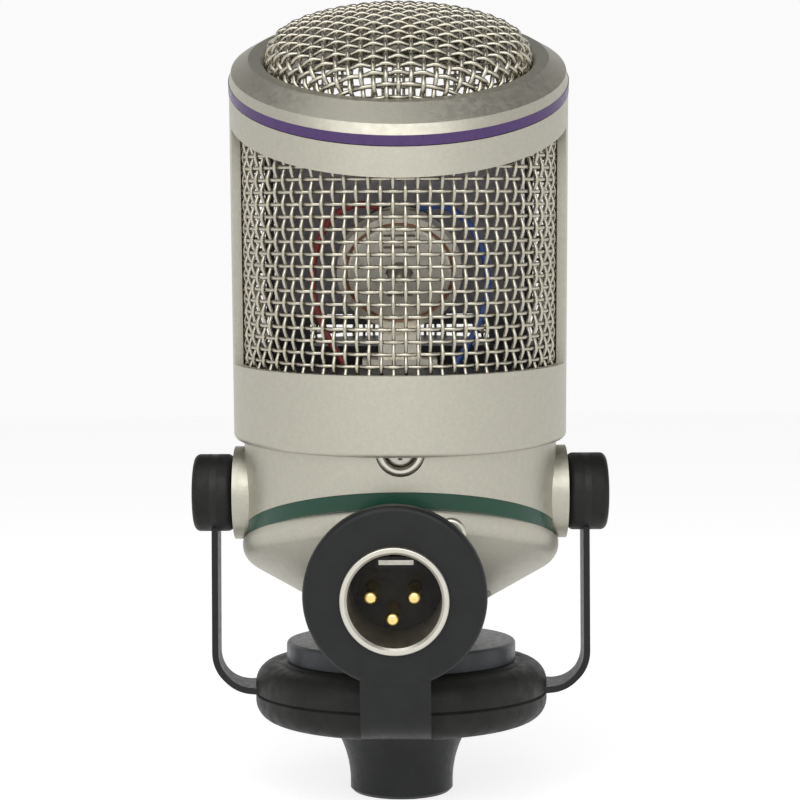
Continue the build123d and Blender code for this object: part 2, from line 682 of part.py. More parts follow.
def dome(inset):
    """Solid of the dished mesh: a crown arc, a knuckle arc and a short upright wall."""
    crown_r = CROWN_R - inset
    knuckle_r = KNUCKLE_R - inset
    wall_r = DOME_BASE_R - inset
    top = DOME_HEIGHT - inset
    turn = (wall_r - knuckle_r) / (crown_r - knuckle_r)
    meet = (crown_r * turn, top - crown_r + crown_r * sqrt(1 - turn**2))
    shoulder = (wall_r, top - crown_r + (crown_r - knuckle_r) * sqrt(1 - turn**2))
    with BuildPart() as shape:
        with BuildSketch(DOME):
            with BuildLine():
                RadiusArc((0, top), meet, crown_r)
                RadiusArc(meet, shoulder, knuckle_r)
                Polyline(shoulder, (wall_r, -0.5), (0, -0.5), (0, top))
            make_face()
        revolve(axis=up_axis(DOME))
    return shape.part


with BuildPart() as dome_mesh:
    add(dome(0))
    add(dome(MESH_T), mode=Mode.SUBTRACT)
    split(bisect_by=TOP_PLANE, keep=Keep.TOP)
save(dome_mesh.part, "dome_mesh")

DOME_SEAT = Plane(origin=DOME.origin, x_dir=(1, 0, 0), z_dir=TOP_PLANE.z_dir)
save(tube(DOME_SEAT, OPENING_R + 1.2, OPENING_R - 3.0, -1.6, 0), "dome_clamp_ring")


# ---- chassis, transformer and terminal board -------------------------------------
CHASSIS_R = 28.6
CHASSIS_LOW_H = BODY_TOP_H
CHASSIS_TOP_H = 25.0
BLOCK_TOP_H = 28.0

with BuildPart() as chassis_plate:
    with BuildSketch(mic_plane(CHASSIS_LOW_H)):
        Circle(CHASSIS_R)
    extrude(amount=CHASSIS_TOP_H - CHASSIS_LOW_H)
    with BuildSketch(mic_plane(CHASSIS_TOP_H)):
        Circle(CHASSIS_R)
        with Locations((0, -CHASSIS_R + 1)):
            Rectangle(3 * CHASSIS_R, 2 * CHASSIS_R, mode=Mode.SUBTRACT)
    extrude(amount=BLOCK_TOP_H - CHASSIS_TOP_H)
    with BuildSketch(mic_plane(CHASSIS_LOW_H)):
        with Locations((-9.8, -7), (9.8, -7)):
            Circle(1.6)
    extrude(amount=CHASSIS_TOP_H - CHASSIS_LOW_H, mode=Mode.SUBTRACT)
save(chassis_plate.part, "chassis_plate")

CORE = (20.0, 16.0, 14.0)
CORE_TOP_H = 13.0
CORE_FRONT = 6.0

with BuildPart() as transformer_core:
    with BuildSketch(mic_plane(CORE_TOP_H - CORE[2])):
        with Locations((0, CORE_FRONT)):
            Rectangle(CORE[0], CORE[1])
    extrude(amount=CORE[2])
    with BuildSketch(mic_plane(CORE_TOP_H - CORE[2] / 2).offset(-4.5)):
        with Locations((-5.2, CORE_FRONT), (5.2, CORE_FRONT)):
            Rectangle(4.4, CORE[1])
    extrude(amount=9.0, mode=Mode.SUBTRACT)
save(transformer_core.part, "transformer_core")

with BuildPart() as transformer_winding:
    with BuildSketch(mic_plane(CORE_TOP_H - CORE[2] / 2).offset(-4.4)):
        with Locations((0, CORE_FRONT)):
            RectangleRounded(14.6, CORE[1] + 8.0, 3.0)
            Rectangle(6.2, CORE[1] + 0.2, mode=Mode.SUBTRACT)
    extrude(amount=8.8)
    add(transformer_core.part, mode=Mode.SUBTRACT)
save(transformer_winding.part, "transformer_winding")

BOARD = (30.0, 22.0)
BOARD_LOW_H = 15.0
BOARD_T = 1.6

with BuildPart() as terminal_board:
    with BuildSketch(mic_plane(BOARD_LOW_H)):
        RectangleRounded(BOARD[0], BOARD[1], 2.0)
        with GridLocations(25.0, 16.0, 2, 2):
            Circle(1.2, mode=Mode.SUBTRACT)
        with GridLocations(6.0, 12.0, 3, 2):
            Circle(0.6, mode=Mode.SUBTRACT)
    extrude(amount=BOARD_T)
save(terminal_board.part, "terminal_board")

with BuildPart() as terminal_pins:
    with BuildSketch(mic_plane(BOARD_LOW_H - 1.2)):
        with GridLocations(6.0, 12.0, 3, 2):
            Circle(0.58)
    extrude(amount=BOARD_T + 3.0)
save(terminal_pins.part, "terminal_pins")

with BuildPart() as board_spacers:
    with BuildSketch(mic_plane(BOARD_LOW_H + BOARD_T)):
        with GridLocations(25.0, 16.0, 2, 2):
            Circle(1.8)
    extrude(amount=CHASSIS_LOW_H - BOARD_LOW_H - BOARD_T)
save(board_spacers.part, "board_spacers")

with BuildPart() as transformer_posts:
    with BuildSketch(mic_plane(CORE_TOP_H)):
        with Locations((-8.2, CORE_FRONT - 1), (8.2, CORE_FRONT - 1)):
            Circle(1.6)
    extrude(amount=BOARD_LOW_H - CORE_TOP_H)
save(transformer_posts.part, "transformer_posts")


# ---- capsule, seen from its back: plate, hum coil, magnet, moving coil -------------
BACK_FACE = 3.2
PLATE_R = 9.7
CAPSULE_BORE_R = 10.4
WEB_LOW = 0.2
WEB_TOP = 1.0
BARREL_FRONT = -6.6
GAP_FACE = -3.6           # front faces of the pole plate and the pole piece
COIL_BACK = -2.6
CONE_BACK = -5.0          # back of the diaphragm
CAPSULE_BOLT_R = 2.15
CAPSULE_BOLT_TOP = 2.4    # the bolt's head sits below the plate's face, in its hexagonal hole

with BuildPart() as capsule_housing:
    with BuildSketch(CAPSULE.offset(WEB_LOW)):
        Circle(CAPSULE_R)
        Circle(CAPSULE_BORE_R, mode=Mode.SUBTRACT)
    extrude(amount=BACK_FACE - WEB_LOW)
    with BuildSketch(CAPSULE.offset(WEB_LOW)):
        Circle(CAPSULE_R)
        Circle(3.4, mode=Mode.SUBTRACT)
    extrude(amount=WEB_TOP - WEB_LOW)
    with BuildSketch(CAPSULE.offset(BARREL_FRONT)):
        Circle(BARREL_R)
        Circle(BARREL_R - 0.7, mode=Mode.SUBTRACT)
    extrude(amount=WEB_LOW - BARREL_FRONT)
save(capsule_housing.part, "capsule_housing")

with BuildPart() as magnet_back_plate:
    with BuildSketch(CAPSULE.offset(1.0)):
        Circle(PLATE_R)
        RegularPolygon(2.7, 6, mode=Mode.SUBTRACT)
        with Locations((0, 5.4), (0, 6.6), (0, 7.8)):
            SlotOverall(6.0, 0.5, mode=Mode.SUBTRACT)
        with Locations((0, -4.6)):
            SlotOverall(5.0, 0.5, mode=Mode.SUBTRACT)
    extrude(amount=BACK_FACE - 1.0)
    back_rims = magnet_back_plate.edges().filter_by(GeomType.CIRCLE).group_by(plane_axis(CAPSULE))[-1]
    fillet(back_rims.sort_by(SortBy.RADIUS)[-1], radius=0.5)
save(magnet_back_plate.part, "magnet_back_plate")

save(tube(CAPSULE, CAPSULE_BORE_R - 0.05, PLATE_R + 0.05, WEB_TOP, 2.7), "hum_coil")
save(tube(CAPSULE, BARREL_R - 0.75, 5.2, GAP_FACE + 1.2, WEB_LOW), "ring_magnet")
save(tube(CAPSULE, BARREL_R - 0.75, 5.0, GAP_FACE, GAP_FACE + 1.2), "front_pole_plate")
save(tube(CAPSULE, 4.0, 1.2, GAP_FACE, WEB_LOW), "pole_piece")
save(tube(CAPSULE, 4.7, 4.3, CONE_BACK, COIL_BACK), "voice_coil")

with BuildPart() as diaphragm:
    with BuildSketch(CAPSULE.offset(CONE_BACK - 0.3)):
        Circle(8.0)
    extrude(amount=0.3)
    with BuildSketch(CAPSULE.offset(CONE_BACK - 0.8)):
        Circle(3.0)
    with BuildSketch(CAPSULE.offset(CONE_BACK - 0.3)):
        Circle(4.6)
    loft()
save(diaphragm.part, "diaphragm")

save(tube(CAPSULE, BARREL_R - 0.75, 8.1, BARREL_FRONT, GAP_FACE), "diaphragm_ring")

with BuildPart() as capsule_cover:
    with BuildSketch(CAPSULE.offset(BARREL_FRONT - 0.8)):
        Circle(BARREL_R)
        for hole_ring, count in ((2.6, 6), (5.0, 12), (7.4, 18)):
            with PolarLocations(hole_ring, count):
                Circle(0.8, mode=Mode.SUBTRACT)
        Circle(0.8, mode=Mode.SUBTRACT)
    extrude(amount=0.8)
save(capsule_cover.part, "capsule_cover")

with BuildPart() as capsule_bolt:
    with BuildSketch(CAPSULE.offset(WEB_LOW)):
        Circle(CAPSULE_BOLT_R)
    extrude(amount=CAPSULE_BOLT_TOP - WEB_LOW)
    with BuildSketch(CAPSULE.offset(CAPSULE_BOLT_TOP)):
        Rectangle(0.9, 2 * CAPSULE_BOLT_R)
    extrude(amount=-1.2, mode=Mode.SUBTRACT)
    with BuildSketch(CAPSULE.offset(WEB_LOW)):
        Circle(1.18)
    extrude(amount=GAP_FACE - WEB_LOW)
save(capsule_bolt.part, "capsule_bolt")

STEM_W = 8.0
STEM_T = 3.0
STEM_REAR = 3.6

CAPSULE_ENVELOPE = tube(CAPSULE, CAPSULE_R, 0, WEB_LOW, 20) + tube(CAPSULE, BARREL_R, 0, -20, WEB_LOW)

with BuildPart() as capsule_stem:
    with BuildSketch(mic_plane(CHASSIS_TOP_H)):
        with Locations((0, STEM_T / 2 - STEM_REAR)):
            Rectangle(STEM_W, STEM_T)
    extrude(amount=CAPSULE_H - CHASSIS_TOP_H)
    with BuildSketch(mic_plane(CHASSIS_TOP_H)):
        with Locations((0, 0.5 - STEM_REAR)):
            Rectangle(14.0, STEM_T + 3)
    extrude(amount=1.0)
    add(CAPSULE_ENVELOPE, mode=Mode.SUBTRACT)
save(capsule_stem.part, "capsule_stem")

with BuildPart() as capsule_tags:
    with BuildSketch(CAPSULE.offset(-2.0)):
        with Locations((-2.6, BARREL_R + 0.5), (2.6, BARREL_R + 0.5)):
            Rectangle(1.6, 2.2)
    extrude(amount=0.5)
    add(CAPSULE_ENVELOPE, mode=Mode.SUBTRACT)
save(capsule_tags.part, "capsule_tags")


# ---- leads from the capsule to the terminal board ----------------------------------
LEAD_R = 0.65


def bend_radii(points):
    """One radius per corner: 0.45 of the shorter run over the tangent of half the turn."""
    radii = []
    for before, corner, after in zip(points, points[1:], points[2:]):
        arriving = corner - before
        leaving = after - corner
        half_turn = radians(arriving.get_angle(leaving)) / 2
        radii.append(0.45 * min(arriving.length, leaving.length) / tan(half_turn))
    return radii


def lead(name, route):
    """Round wire along straight runs joined by arcs; a route is (across, height, back)."""
    points = [mic_point(height, back) + Vector(across, 0, 0) for across, height, back in route]
    radii = bend_radii(points)
    with BuildPart() as wire:
        with BuildLine() as path:
            FilletPolyline(*points, radius=radii)
        with BuildSketch(Plane(origin=points[0], z_dir=points[1] - points[0])):
            Circle(LEAD_R)
        sweep(path=path.line)
    length = sum(edge.length for edge in path.line.edges())
    expected = pi * LEAD_R**2 * length
    print(f"{name}: length {length:.1f}, radii {[round(r, 1) for r in radii]},",
          f"volume ratio {wire.part.volume / expected:.4f}")
    save(wire.part, name)


lead("red_lead", [
    (-3.5, 54.2, 6.2), (-8.0, 55.2, 6.2), (-12.9, 52.4, 5.6), (-15.7, 46.8, 4.8), (-16.4, 40.2, 4.4),
    (-15.2, 33.8, 4.8), (-12.7, 28.8, 5.8), (-10.1, 25.0, 6.7), (-9.6, 19.4, 6.9),
])
lead("blue_lead", [
    (3.5, 54.0, 6.2), (7.9, 54.9, 6.2), (12.6, 52.0, 5.6), (15.6, 46.4, 4.8), (16.8, 40.4, 4.4),
    (15.6, 34.2, 4.8), (12.9, 28.8, 5.8), (10.2, 25.0, 6.7), (9.6, 19.4, 6.9),
])


# ---- pop screen in front of the capsule --------------------------------------------
SCREEN_W = 52.0
SCREEN_LOW_H = 31.5
SCREEN_TOP_H = 68.0
SCREEN_FRONT = 10.0
SCREEN_T = 1.2
SCREEN_BORDER = 1.6
SCREEN_LEG_W = 7.5
SCREEN_LEG_X = 21.3       # the see-through strip below the screen lies between its two legs
CLOTH_W = SCREEN_W - 2 * SCREEN_BORDER
CLOTH_H = SCREEN_TOP_H - SCREEN_LOW_H - 2 * SCREEN_BORDER
SCREEN = mic_section((SCREEN_LOW_H + SCREEN_TOP_H) / 2, 0, -SCREEN_FRONT - SCREEN_T)

with BuildPart() as pop_screen_frame:
    with BuildSketch(SCREEN):
        RectangleRounded(SCREEN_W, SCREEN_TOP_H - SCREEN_LOW_H, 3.0)
        RectangleRounded(CLOTH_W, CLOTH_H, 1.6, mode=Mode.SUBTRACT)
    extrude(amount=SCREEN_T)
    with BuildSketch(mic_plane(BLOCK_TOP_H)):
        with Locations(
            (-SCREEN_LEG_X, SCREEN_FRONT + SCREEN_T / 2), (SCREEN_LEG_X, SCREEN_FRONT + SCREEN_T / 2)
        ):
            Rectangle(SCREEN_LEG_W, SCREEN_T)
    extrude(amount=SCREEN_LOW_H - BLOCK_TOP_H + 0.5)
save(pop_screen_frame.part, "pop_screen_frame")

with BuildPart() as pop_screen_cloth:
    with BuildSketch(SCREEN.offset(0.3)):
        RectangleRounded(CLOTH_W, CLOTH_H, 1.6)
    extrude(amount=0.5)
save(pop_screen_cloth.part, "pop_screen_cloth")
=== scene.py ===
"""Looks of a side-address studio microphone in an elastic yoke mount, seen from its rear."""
import json
from math import asin, atan2, cos, hypot, pi, radians, sin, sqrt, tan

import bpy
from mathutils import Matrix, Vector


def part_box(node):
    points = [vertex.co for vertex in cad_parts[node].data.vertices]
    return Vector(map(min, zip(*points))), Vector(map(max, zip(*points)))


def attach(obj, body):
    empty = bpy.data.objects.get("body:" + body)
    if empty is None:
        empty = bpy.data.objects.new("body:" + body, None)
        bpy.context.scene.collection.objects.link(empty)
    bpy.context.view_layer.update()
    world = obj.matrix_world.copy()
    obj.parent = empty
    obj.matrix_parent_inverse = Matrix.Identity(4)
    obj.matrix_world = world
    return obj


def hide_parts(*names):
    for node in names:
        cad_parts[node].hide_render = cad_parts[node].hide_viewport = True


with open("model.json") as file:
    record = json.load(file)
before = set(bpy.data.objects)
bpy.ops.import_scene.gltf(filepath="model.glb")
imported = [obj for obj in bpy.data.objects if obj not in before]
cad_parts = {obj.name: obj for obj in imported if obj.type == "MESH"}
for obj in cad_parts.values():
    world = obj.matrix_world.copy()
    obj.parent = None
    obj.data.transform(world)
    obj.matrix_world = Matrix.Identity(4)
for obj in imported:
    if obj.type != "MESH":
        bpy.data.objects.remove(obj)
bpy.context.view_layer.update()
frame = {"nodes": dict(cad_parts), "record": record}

MM = 0.001

# ---- the object's own frame, in metres ---------------------------------------
JOINTS = {joint["name"]: joint for joint in frame["record"]["behaviour"]["joints"]}
PIVOT = Vector(JOINTS["tilt"]["pos_m"])
REST_TILT = radians(6.5)
TOP_SLANT = radians(21.3)
UP = Vector((0, -sin(REST_TILT), cos(REST_TILT)))          # along the microphone's axis
BACK = Vector((0, -cos(REST_TILT), -sin(REST_TILT)))       # to its rear
ACROSS = Vector((1, 0, 0))
TOP_UP = Vector((0, -sin(REST_TILT + TOP_SLANT), cos(REST_TILT + TOP_SLANT)))
TOP_FORWARD = Vector((0, cos(REST_TILT + TOP_SLANT), sin(REST_TILT + TOP_SLANT)))


def half_width(node):
    """Half of a node's width across, which is the outer radius of a round piece."""
    low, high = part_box(node)
    return (high.x - low.x) / 2


# heights on the microphone's axis above the pivot
RING_LOW_H = 77.0 * MM      # underside of the coloured ring, where the side mesh ends
RING_TOP_H = 78.7 * MM      # top of the coloured ring, where the dome stands
MESH_LOW_H = 24.6 * MM      # foot of the side mesh

WIRE_SIDES = 6
CELL_STEPS = 4              # points along a wire between two crossings
WIRE_R = 0.34 * MM
WEAVE = 0.30 * MM           # how far a wire's centre swings out of the mesh's middle
MESH_HALF = WIRE_R + WEAVE

MESH_R = half_width("side_mesh") - MESH_HALF
SIDE_WIRES = 86             # upright wires round the head
ROW_PITCH = 2.16 * MM

DOME_SHIFT = -0.4 * MM      # the dome's centre from the axis, along the slanted top
DOME_PITCH = 2.25 * MM
DOME_WIRE_R = 0.41 * MM
DOME_WEAVE = 0.33 * MM
DOME_HALF = DOME_WIRE_R + DOME_WEAVE
DOME_TOP = 12.2 * MM - DOME_HALF           # all four to the middle of the dome's mesh
DOME_CROWN_R = 64.0 * MM - DOME_HALF
DOME_KNUCKLE_R = 5.0 * MM - DOME_HALF
DOME_WALL_R = half_width("dome_mesh") - DOME_HALF

CLOTH_THICKNESS = 0.5 * MM  # of the CAD cloth; the scene's cloth is a little thinner
CLOTH_HALF = 0.15 * MM
CLOTH_WAVE = 0.05 * MM
CLOTH_TRIM_ACROSS = 0.4 * MM
CLOTH_TRIM_UP = 0.8 * MM


def mic(across, height, back):
    """Point from the pivot: across, up the microphone's axis, and to its rear."""
    return PIVOT + ACROSS * across + UP * height + BACK * back


# ---- camera, lights and floor --------------------------------------------------
CAMERA_PLACE = (0, -0.325, 0.0746)
CAMERA_ROLL = radians(-0.27)
LENS_MM = 76.1
SENSOR_MM = 36

HORIZON_GLOW = 0.96
OVERHEAD_GLOW = 0.14
FADE_START, FADE_END = 0.28, 0.80          # height of the view direction where the sky fades

LIT_POINT = (0, 0, 0.08)
FLOOR_RADII = (0, 0.5, 2.0, 8.0)
FLOOR_SIDES = 96


def place_camera():
    data = bpy.data.cameras.new("camera")
    data.sensor_width = SENSOR_MM
    data.lens = LENS_MM
    camera = bpy.data.objects.new("camera", data)
    camera.matrix_world = (
        Matrix.Translation(CAMERA_PLACE)
        @ Matrix.Rotation(radians(90), 4, "X")
        @ Matrix.Rotation(CAMERA_ROLL, 4, "Z")
    )
    bpy.context.scene.collection.objects.link(camera)
    bpy.context.scene.camera = camera


def area_light(name, place, size, power):
    """White rectangular light at a place, turned to the object's middle."""
    data = bpy.data.lights.new(name, "AREA")
    data.shape = "RECTANGLE"
    data.size, data.size_y = size
    data.energy = power
    light = bpy.data.objects.new(name, data)
    light.location = place
    aim = Vector(LIT_POINT) - Vector(place)
    light.rotation_euler = aim.to_track_quat("-Z", "Y").to_euler()
    bpy.context.scene.collection.objects.link(light)


def make_sky():
    """White all round the horizon and dim overhead, as in a studio with a low white backdrop."""
    world = bpy.data.worlds.new("studio")
    world.use_nodes = True
    nodes, links = world.node_tree.nodes, world.node_tree.links
    direction = nodes.new("ShaderNodeTexCoord")
    split = nodes.new("ShaderNodeSeparateXYZ")
    fade = nodes.new("ShaderNodeMapRange")
    fade.interpolation_type = "SMOOTHSTEP"
    fade.inputs["From Min"].default_value = FADE_START
    fade.inputs["From Max"].default_value = FADE_END
    fade.inputs["To Min"].default_value = HORIZON_GLOW
    fade.inputs["To Max"].default_value = OVERHEAD_GLOW
    links.new(direction.outputs["Generated"], split.inputs["Vector"])
    links.new(split.outputs["Z"], fade.inputs["Value"])
    background = nodes["Background"]
    background.inputs["Color"].default_value = (1, 1, 1, 1)
    links.new(fade.outputs["Result"], background.inputs["Strength"])
    bpy.context.scene.world = world


def make_studio():
    """Pale floor out to the horizon, under the sky and two soft lights."""
    bpy.context.scene.view_settings.view_transform = "Standard"
    make_sky()
    area_light("front", (-0.08, -0.82, 0.62), (1.20, 0.70), 6.0)
    area_light("key", (-0.15, -0.35, 0.90), (0.60, 0.40), 1.2)

    floor = disc("floor", FLOOR_RADII, FLOOR_SIDES)
    floor.data.materials.append(plain_floor())


# ---- materials -------------------------------------------------------------------
FLOOR_GLOW = 0.74
NOISE_LOW, NOISE_HIGH = 0.3, 0.7           # the part of a noise's range that is used


class Finish:
    """A procedural material: a Principled shader with noise in object space."""

    def __init__(self, name, colour, metallic=0.0, roughness=0.5, **sockets):
        self.material = bpy.data.materials.new(name)
        self.material.use_nodes = True
        self.nodes = self.material.node_tree.nodes
        self.links = self.material.node_tree.links
        self.shader = self.nodes["Principled BSDF"]
        self.coordinates = self.nodes.new("ShaderNodeTexCoord")
        self.colour = colour
        self.shader.inputs["Base Color"].default_value = (*colour, 1)
        self.shader.inputs["Metallic"].default_value = metallic
        self.shader.inputs["Roughness"].default_value = roughness
        for socket, value in sockets.items():
            self.shader.inputs[socket.replace("_", " ")].default_value = value

    def noise(self, size, detail=3.0, stretch=(1, 1, 1)):
        """Noise with features about size metres across, drawn out along each axis by stretch."""
        mapping = self.nodes.new("ShaderNodeMapping")
        mapping.inputs["Scale"].default_value = tuple(1 / s for s in stretch)
        self.links.new(self.coordinates.outputs["Object"], mapping.inputs["Vector"])
        noise = self.nodes.new("ShaderNodeTexNoise")
        noise.inputs["Scale"].default_value = 1 / size
        noise.inputs["Detail"].default_value = detail
        self.links.new(mapping.outputs["Vector"], noise.inputs["Vector"])
        return noise.outputs["Fac"]

    def vary_colour(self, value, spread, warmth=0.0):
        """Base colour times (1 - spread) to (1 + spread), a little warmer where it is light."""
        ramp = self.nodes.new("ShaderNodeValToRGB")
        low = [c * (1 - spread) for c in self.colour]
        high = [c * (1 + spread) for c in self.colour]
        high[0] *= 1 + warmth
        high[2] *= 1 - warmth
        ramp.color_ramp.elements[0].position = NOISE_LOW
        ramp.color_ramp.elements[0].color = (*low, 1)
        ramp.color_ramp.elements[1].position = NOISE_HIGH
        ramp.color_ramp.elements[1].color = (*high, 1)
        self.links.new(value, ramp.inputs["Fac"])
        self.links.new(ramp.outputs["Color"], self.shader.inputs["Base Color"])
        return self

    def vary_roughness(self, value, low, high):
        reach = self.nodes.new("ShaderNodeMapRange")
        reach.inputs["From Min"].default_value = NOISE_LOW
        reach.inputs["From Max"].default_value = NOISE_HIGH
        reach.inputs["To Min"].default_value = low
        reach.inputs["To Max"].default_value = high
        self.links.new(value, reach.inputs["Value"])
        self.links.new(reach.outputs["Result"], self.shader.inputs["Roughness"])
        return self

    def bump(self, value, depth, strength=1.0):
        """Relief of about depth metres."""
        node = self.nodes.new("ShaderNodeBump")
        node.inputs["Strength"].default_value = strength
        node.inputs["Distance"].default_value = depth
        self.links.new(value, node.inputs["Height"])
        self.links.new(node.outputs["Normal"], self.shader.inputs["Normal"])
        return self


def plain_floor():
    finish = Finish("floor_paint", (0.45, 0.45, 0.45), roughness=0.8, Specular_IOR_Level=0.1)
    finish.shader.inputs["Emission Color"].default_value = (1, 1, 1, 1)
    finish.shader.inputs["Emission Strength"].default_value = FLOOR_GLOW
    finish.vary_colour(finish.noise(0.25), 0.01)
    finish.bump(finish.noise(0.002), 0.00002)
    return finish.material


def satin_nickel():
    finish = Finish("satin_nickel", (0.45, 0.44, 0.372), metallic=0.9, roughness=0.42)
    finish.vary_colour(finish.noise(0.0006, 4), 0.05, 0.012)
    finish.vary_roughness(finish.noise(0.0012, 2), 0.38, 0.50)
    return finish.bump(finish.noise(0.00035, 2), 0.00003, 0.7).material


def bright_metal():
    finish = Finish("bright_metal", (0.60, 0.58, 0.51), metallic=1.0, roughness=0.35)
    finish.vary_colour(finish.noise(0.003), 0.04)
    finish.vary_roughness(finish.noise(0.001), 0.30, 0.44)
    return finish.bump(finish.noise(0.0006, 2, (1, 1, 6)), 0.000006).material


def mesh_wire():
    finish = Finish("mesh_wire", (0.48, 0.46, 0.385), metallic=1.0, roughness=0.28)
    finish.vary_colour(finish.noise(0.002), 0.10, 0.02)
    finish.vary_roughness(finish.noise(0.0008), 0.20, 0.38)
    return finish.bump(finish.noise(0.0002, 2), 0.000008).material


def enamel(name, colour, roughness):
    finish = Finish(name, colour, roughness=roughness, Specular_IOR_Level=0.3, Coat_Weight=0.08)
    finish.vary_colour(finish.noise(0.003), 0.07)
    finish.vary_roughness(finish.noise(0.0015), roughness - 0.06, roughness + 0.08)
    return finish.bump(finish.noise(0.0012), 0.00001, 0.5).material


def powder_coat(name, colour, roughness):
    finish = Finish(name, colour, roughness=roughness, Specular_IOR_Level=0.24)
    finish.vary_colour(finish.noise(0.004, 4), 0.15)
    finish.vary_roughness(finish.noise(0.0012), roughness - 0.06, roughness + 0.08)
    return finish.bump(finish.noise(0.0004, 3), 0.00002, 0.8).material


def moulded_rubber():
    colour = (0.0105, 0.0105, 0.0095)
    finish = Finish("black_rubber", colour, roughness=0.45, Specular_IOR_Level=0.22)
    finish.vary_colour(finish.noise(0.005, 5), 0.3)
    finish.vary_roughness(finish.noise(0.002), 0.42, 0.62)
    return finish.bump(finish.noise(0.0007, 4), 0.00002, 0.7).material


def moulded_plastic():
    finish = Finish("black_plastic", (0.008, 0.008, 0.008), roughness=0.45, Specular_IOR_Level=0.3)
    finish.vary_colour(finish.noise(0.002), 0.2)
    finish.vary_roughness(finish.noise(0.001), 0.4, 0.55)
    return finish.bump(finish.noise(0.0003), 0.00001).material


def metal(name, colour, low, high):
    finish = Finish(name, colour, metallic=1.0, roughness=low)
    finish.vary_colour(finish.noise(0.002, 4), 0.08, 0.01)
    finish.vary_roughness(finish.noise(0.0008, 3), low, high)
    return finish.bump(finish.noise(0.0004, 3), 0.000008).material


def winding():
    finish = Finish("copper_wire", (0.36, 0.18, 0.11), metallic=0.8, roughness=0.45)
    finish.vary_colour(finish.noise(0.0005, 2, (30, 30, 1)), 0.25, 0.03)
    return finish.bump(finish.noise(0.0003, 1, (40, 40, 1)), 0.00005).material


def sleeve(name, colour):
    finish = Finish(name, colour, roughness=0.4)
    finish.vary_colour(finish.noise(0.003), 0.12)
    finish.vary_roughness(finish.noise(0.001), 0.34, 0.48)
    return finish.bump(finish.noise(0.0005), 0.00001).material


def acoustic_cloth():
    finish = Finish("grey_cloth", (0.21, 0.20, 0.21), roughness=0.9, Sheen_Weight=0.3)
    finish.vary_colour(finish.noise(0.0012, 4), 0.2)
    return finish.bump(finish.noise(0.0003, 2, (4, 1, 1)), 0.00005).material


def film():
    finish = Finish("clear_film", (0.85, 0.82, 0.74), roughness=0.2, Coat_Weight=0.2)
    finish.vary_colour(finish.noise(0.004), 0.05)
    return finish.bump(finish.noise(0.001), 0.00001).material


def make_materials():
    """One finish for each of the record's material slots."""
    return {
        "satin_nickel": satin_nickel(),
        # painted light: the capsule's nickel is much lighter than the body's satin nickel, to make
        # up for the shade that the head's mesh and rim cast on the capsule
        "capsule_nickel": metal("capsule_nickel", (0.86, 0.83, 0.74), 0.50, 0.65),
        "bright_metal": bright_metal(),
        "mesh_wire": mesh_wire(),
        "green_enamel": enamel("green_enamel", (0.008, 0.048, 0.028), 0.35),
        "purple_enamel": enamel("purple_enamel", (0.058, 0.028, 0.108), 0.3),
        "black_paint": powder_coat("black_paint", (0.011, 0.0115, 0.012), 0.40),
        "grey_plate": powder_coat("grey_plate", (0.034, 0.037, 0.040), 0.35),
        "black_rubber": moulded_rubber(),
        "black_plastic": moulded_plastic(),
        "gold_contact": metal("gold_contact", (0.95, 0.72, 0.30), 0.14, 0.26),
        "zinc_steel": metal("zinc_steel", (0.56, 0.54, 0.49), 0.35, 0.5),
        "copper_wire": winding(),
        "magnet_iron": metal("magnet_iron", (0.30, 0.30, 0.31), 0.35, 0.5),
        "board_green": enamel("board_green", (0.02, 0.12, 0.05), 0.4),
        "red_sleeve": sleeve("red_sleeve", (0.22, 0.018, 0.018)),
        "blue_sleeve": sleeve("blue_sleeve", (0.03, 0.08, 0.30)),
        "grey_cloth": acoustic_cloth(),
        "clear_film": film(),
    }


# ---- mesh builders ---------------------------------------------------------------
def new_piece(name, vertices, faces):
    mesh = bpy.data.meshes.new(name)
    mesh.from_pydata([tuple(v) for v in vertices], [], faces)
    mesh.update()
    mesh.polygons.foreach_set("use_smooth", [True] * len(mesh.polygons))
    piece = bpy.data.objects.new(name, mesh)
    bpy.context.scene.collection.objects.link(piece)
    return piece


def disc(name, radii, sides):
    """Flat disc on the ground in rings; the first radius is 0, its centre."""
    vertices, rows = [], []
    angles = [2 * pi * i / sides for i in range(sides)]
    for radius in radii:
        count = sides if radius else 1
        rows.append([len(vertices) + i for i in range(count)])
        vertices += [Vector((radius * cos(a), radius * sin(a), 0)) for a in angles[:count]]
    faces = []
    for inner, outer in zip(rows, rows[1:]):
        for i in range(sides):
            j = (i + 1) % sides
            corners = (inner[i % len(inner)], inner[j % len(inner)], outer[j], outer[i])
            faces.append(tuple(dict.fromkeys(corners)))
    return new_piece(name, vertices, faces)


def tubes(name, paths, radius):
    """Round wires along paths of points; a path is (points, closed)."""
    vertices, faces = [], []
    for points, closed in paths:
        first = len(vertices)
        count = len(points)
        normal = None
        for i, point in enumerate(points):
            before = points[i - 1] if closed or i else point
            after = points[(i + 1) % count] if closed or i < count - 1 else point
            along = (after - before).normalized()
            if normal is None:
                normal = along.orthogonal().normalized()
            normal = (normal - along * normal.dot(along)).normalized()
            side = along.cross(normal)
            for k in range(WIRE_SIDES):
                a = 2 * pi * k / WIRE_SIDES
                vertices.append(point + (normal * cos(a) + side * sin(a)) * radius)
        spans = count if closed else count - 1
        for i in range(spans):
            low = first + i * WIRE_SIDES
            high = first + ((i + 1) % count) * WIRE_SIDES
            twist = closest_twist(vertices, low, high) if closed and i == spans - 1 else 0
            for k in range(WIRE_SIDES):
                m = (k + 1) % WIRE_SIDES
                over, beside = high + (k + twist) % WIRE_SIDES, high + (m + twist) % WIRE_SIDES
                faces.append((low + k, low + m, beside, over))
        if not closed:
            last = first + (count - 1) * WIRE_SIDES
            faces.append(tuple(first + k for k in reversed(range(WIRE_SIDES))))
            faces.append(tuple(last + k for k in range(WIRE_SIDES)))
    return new_piece(name, vertices, faces)


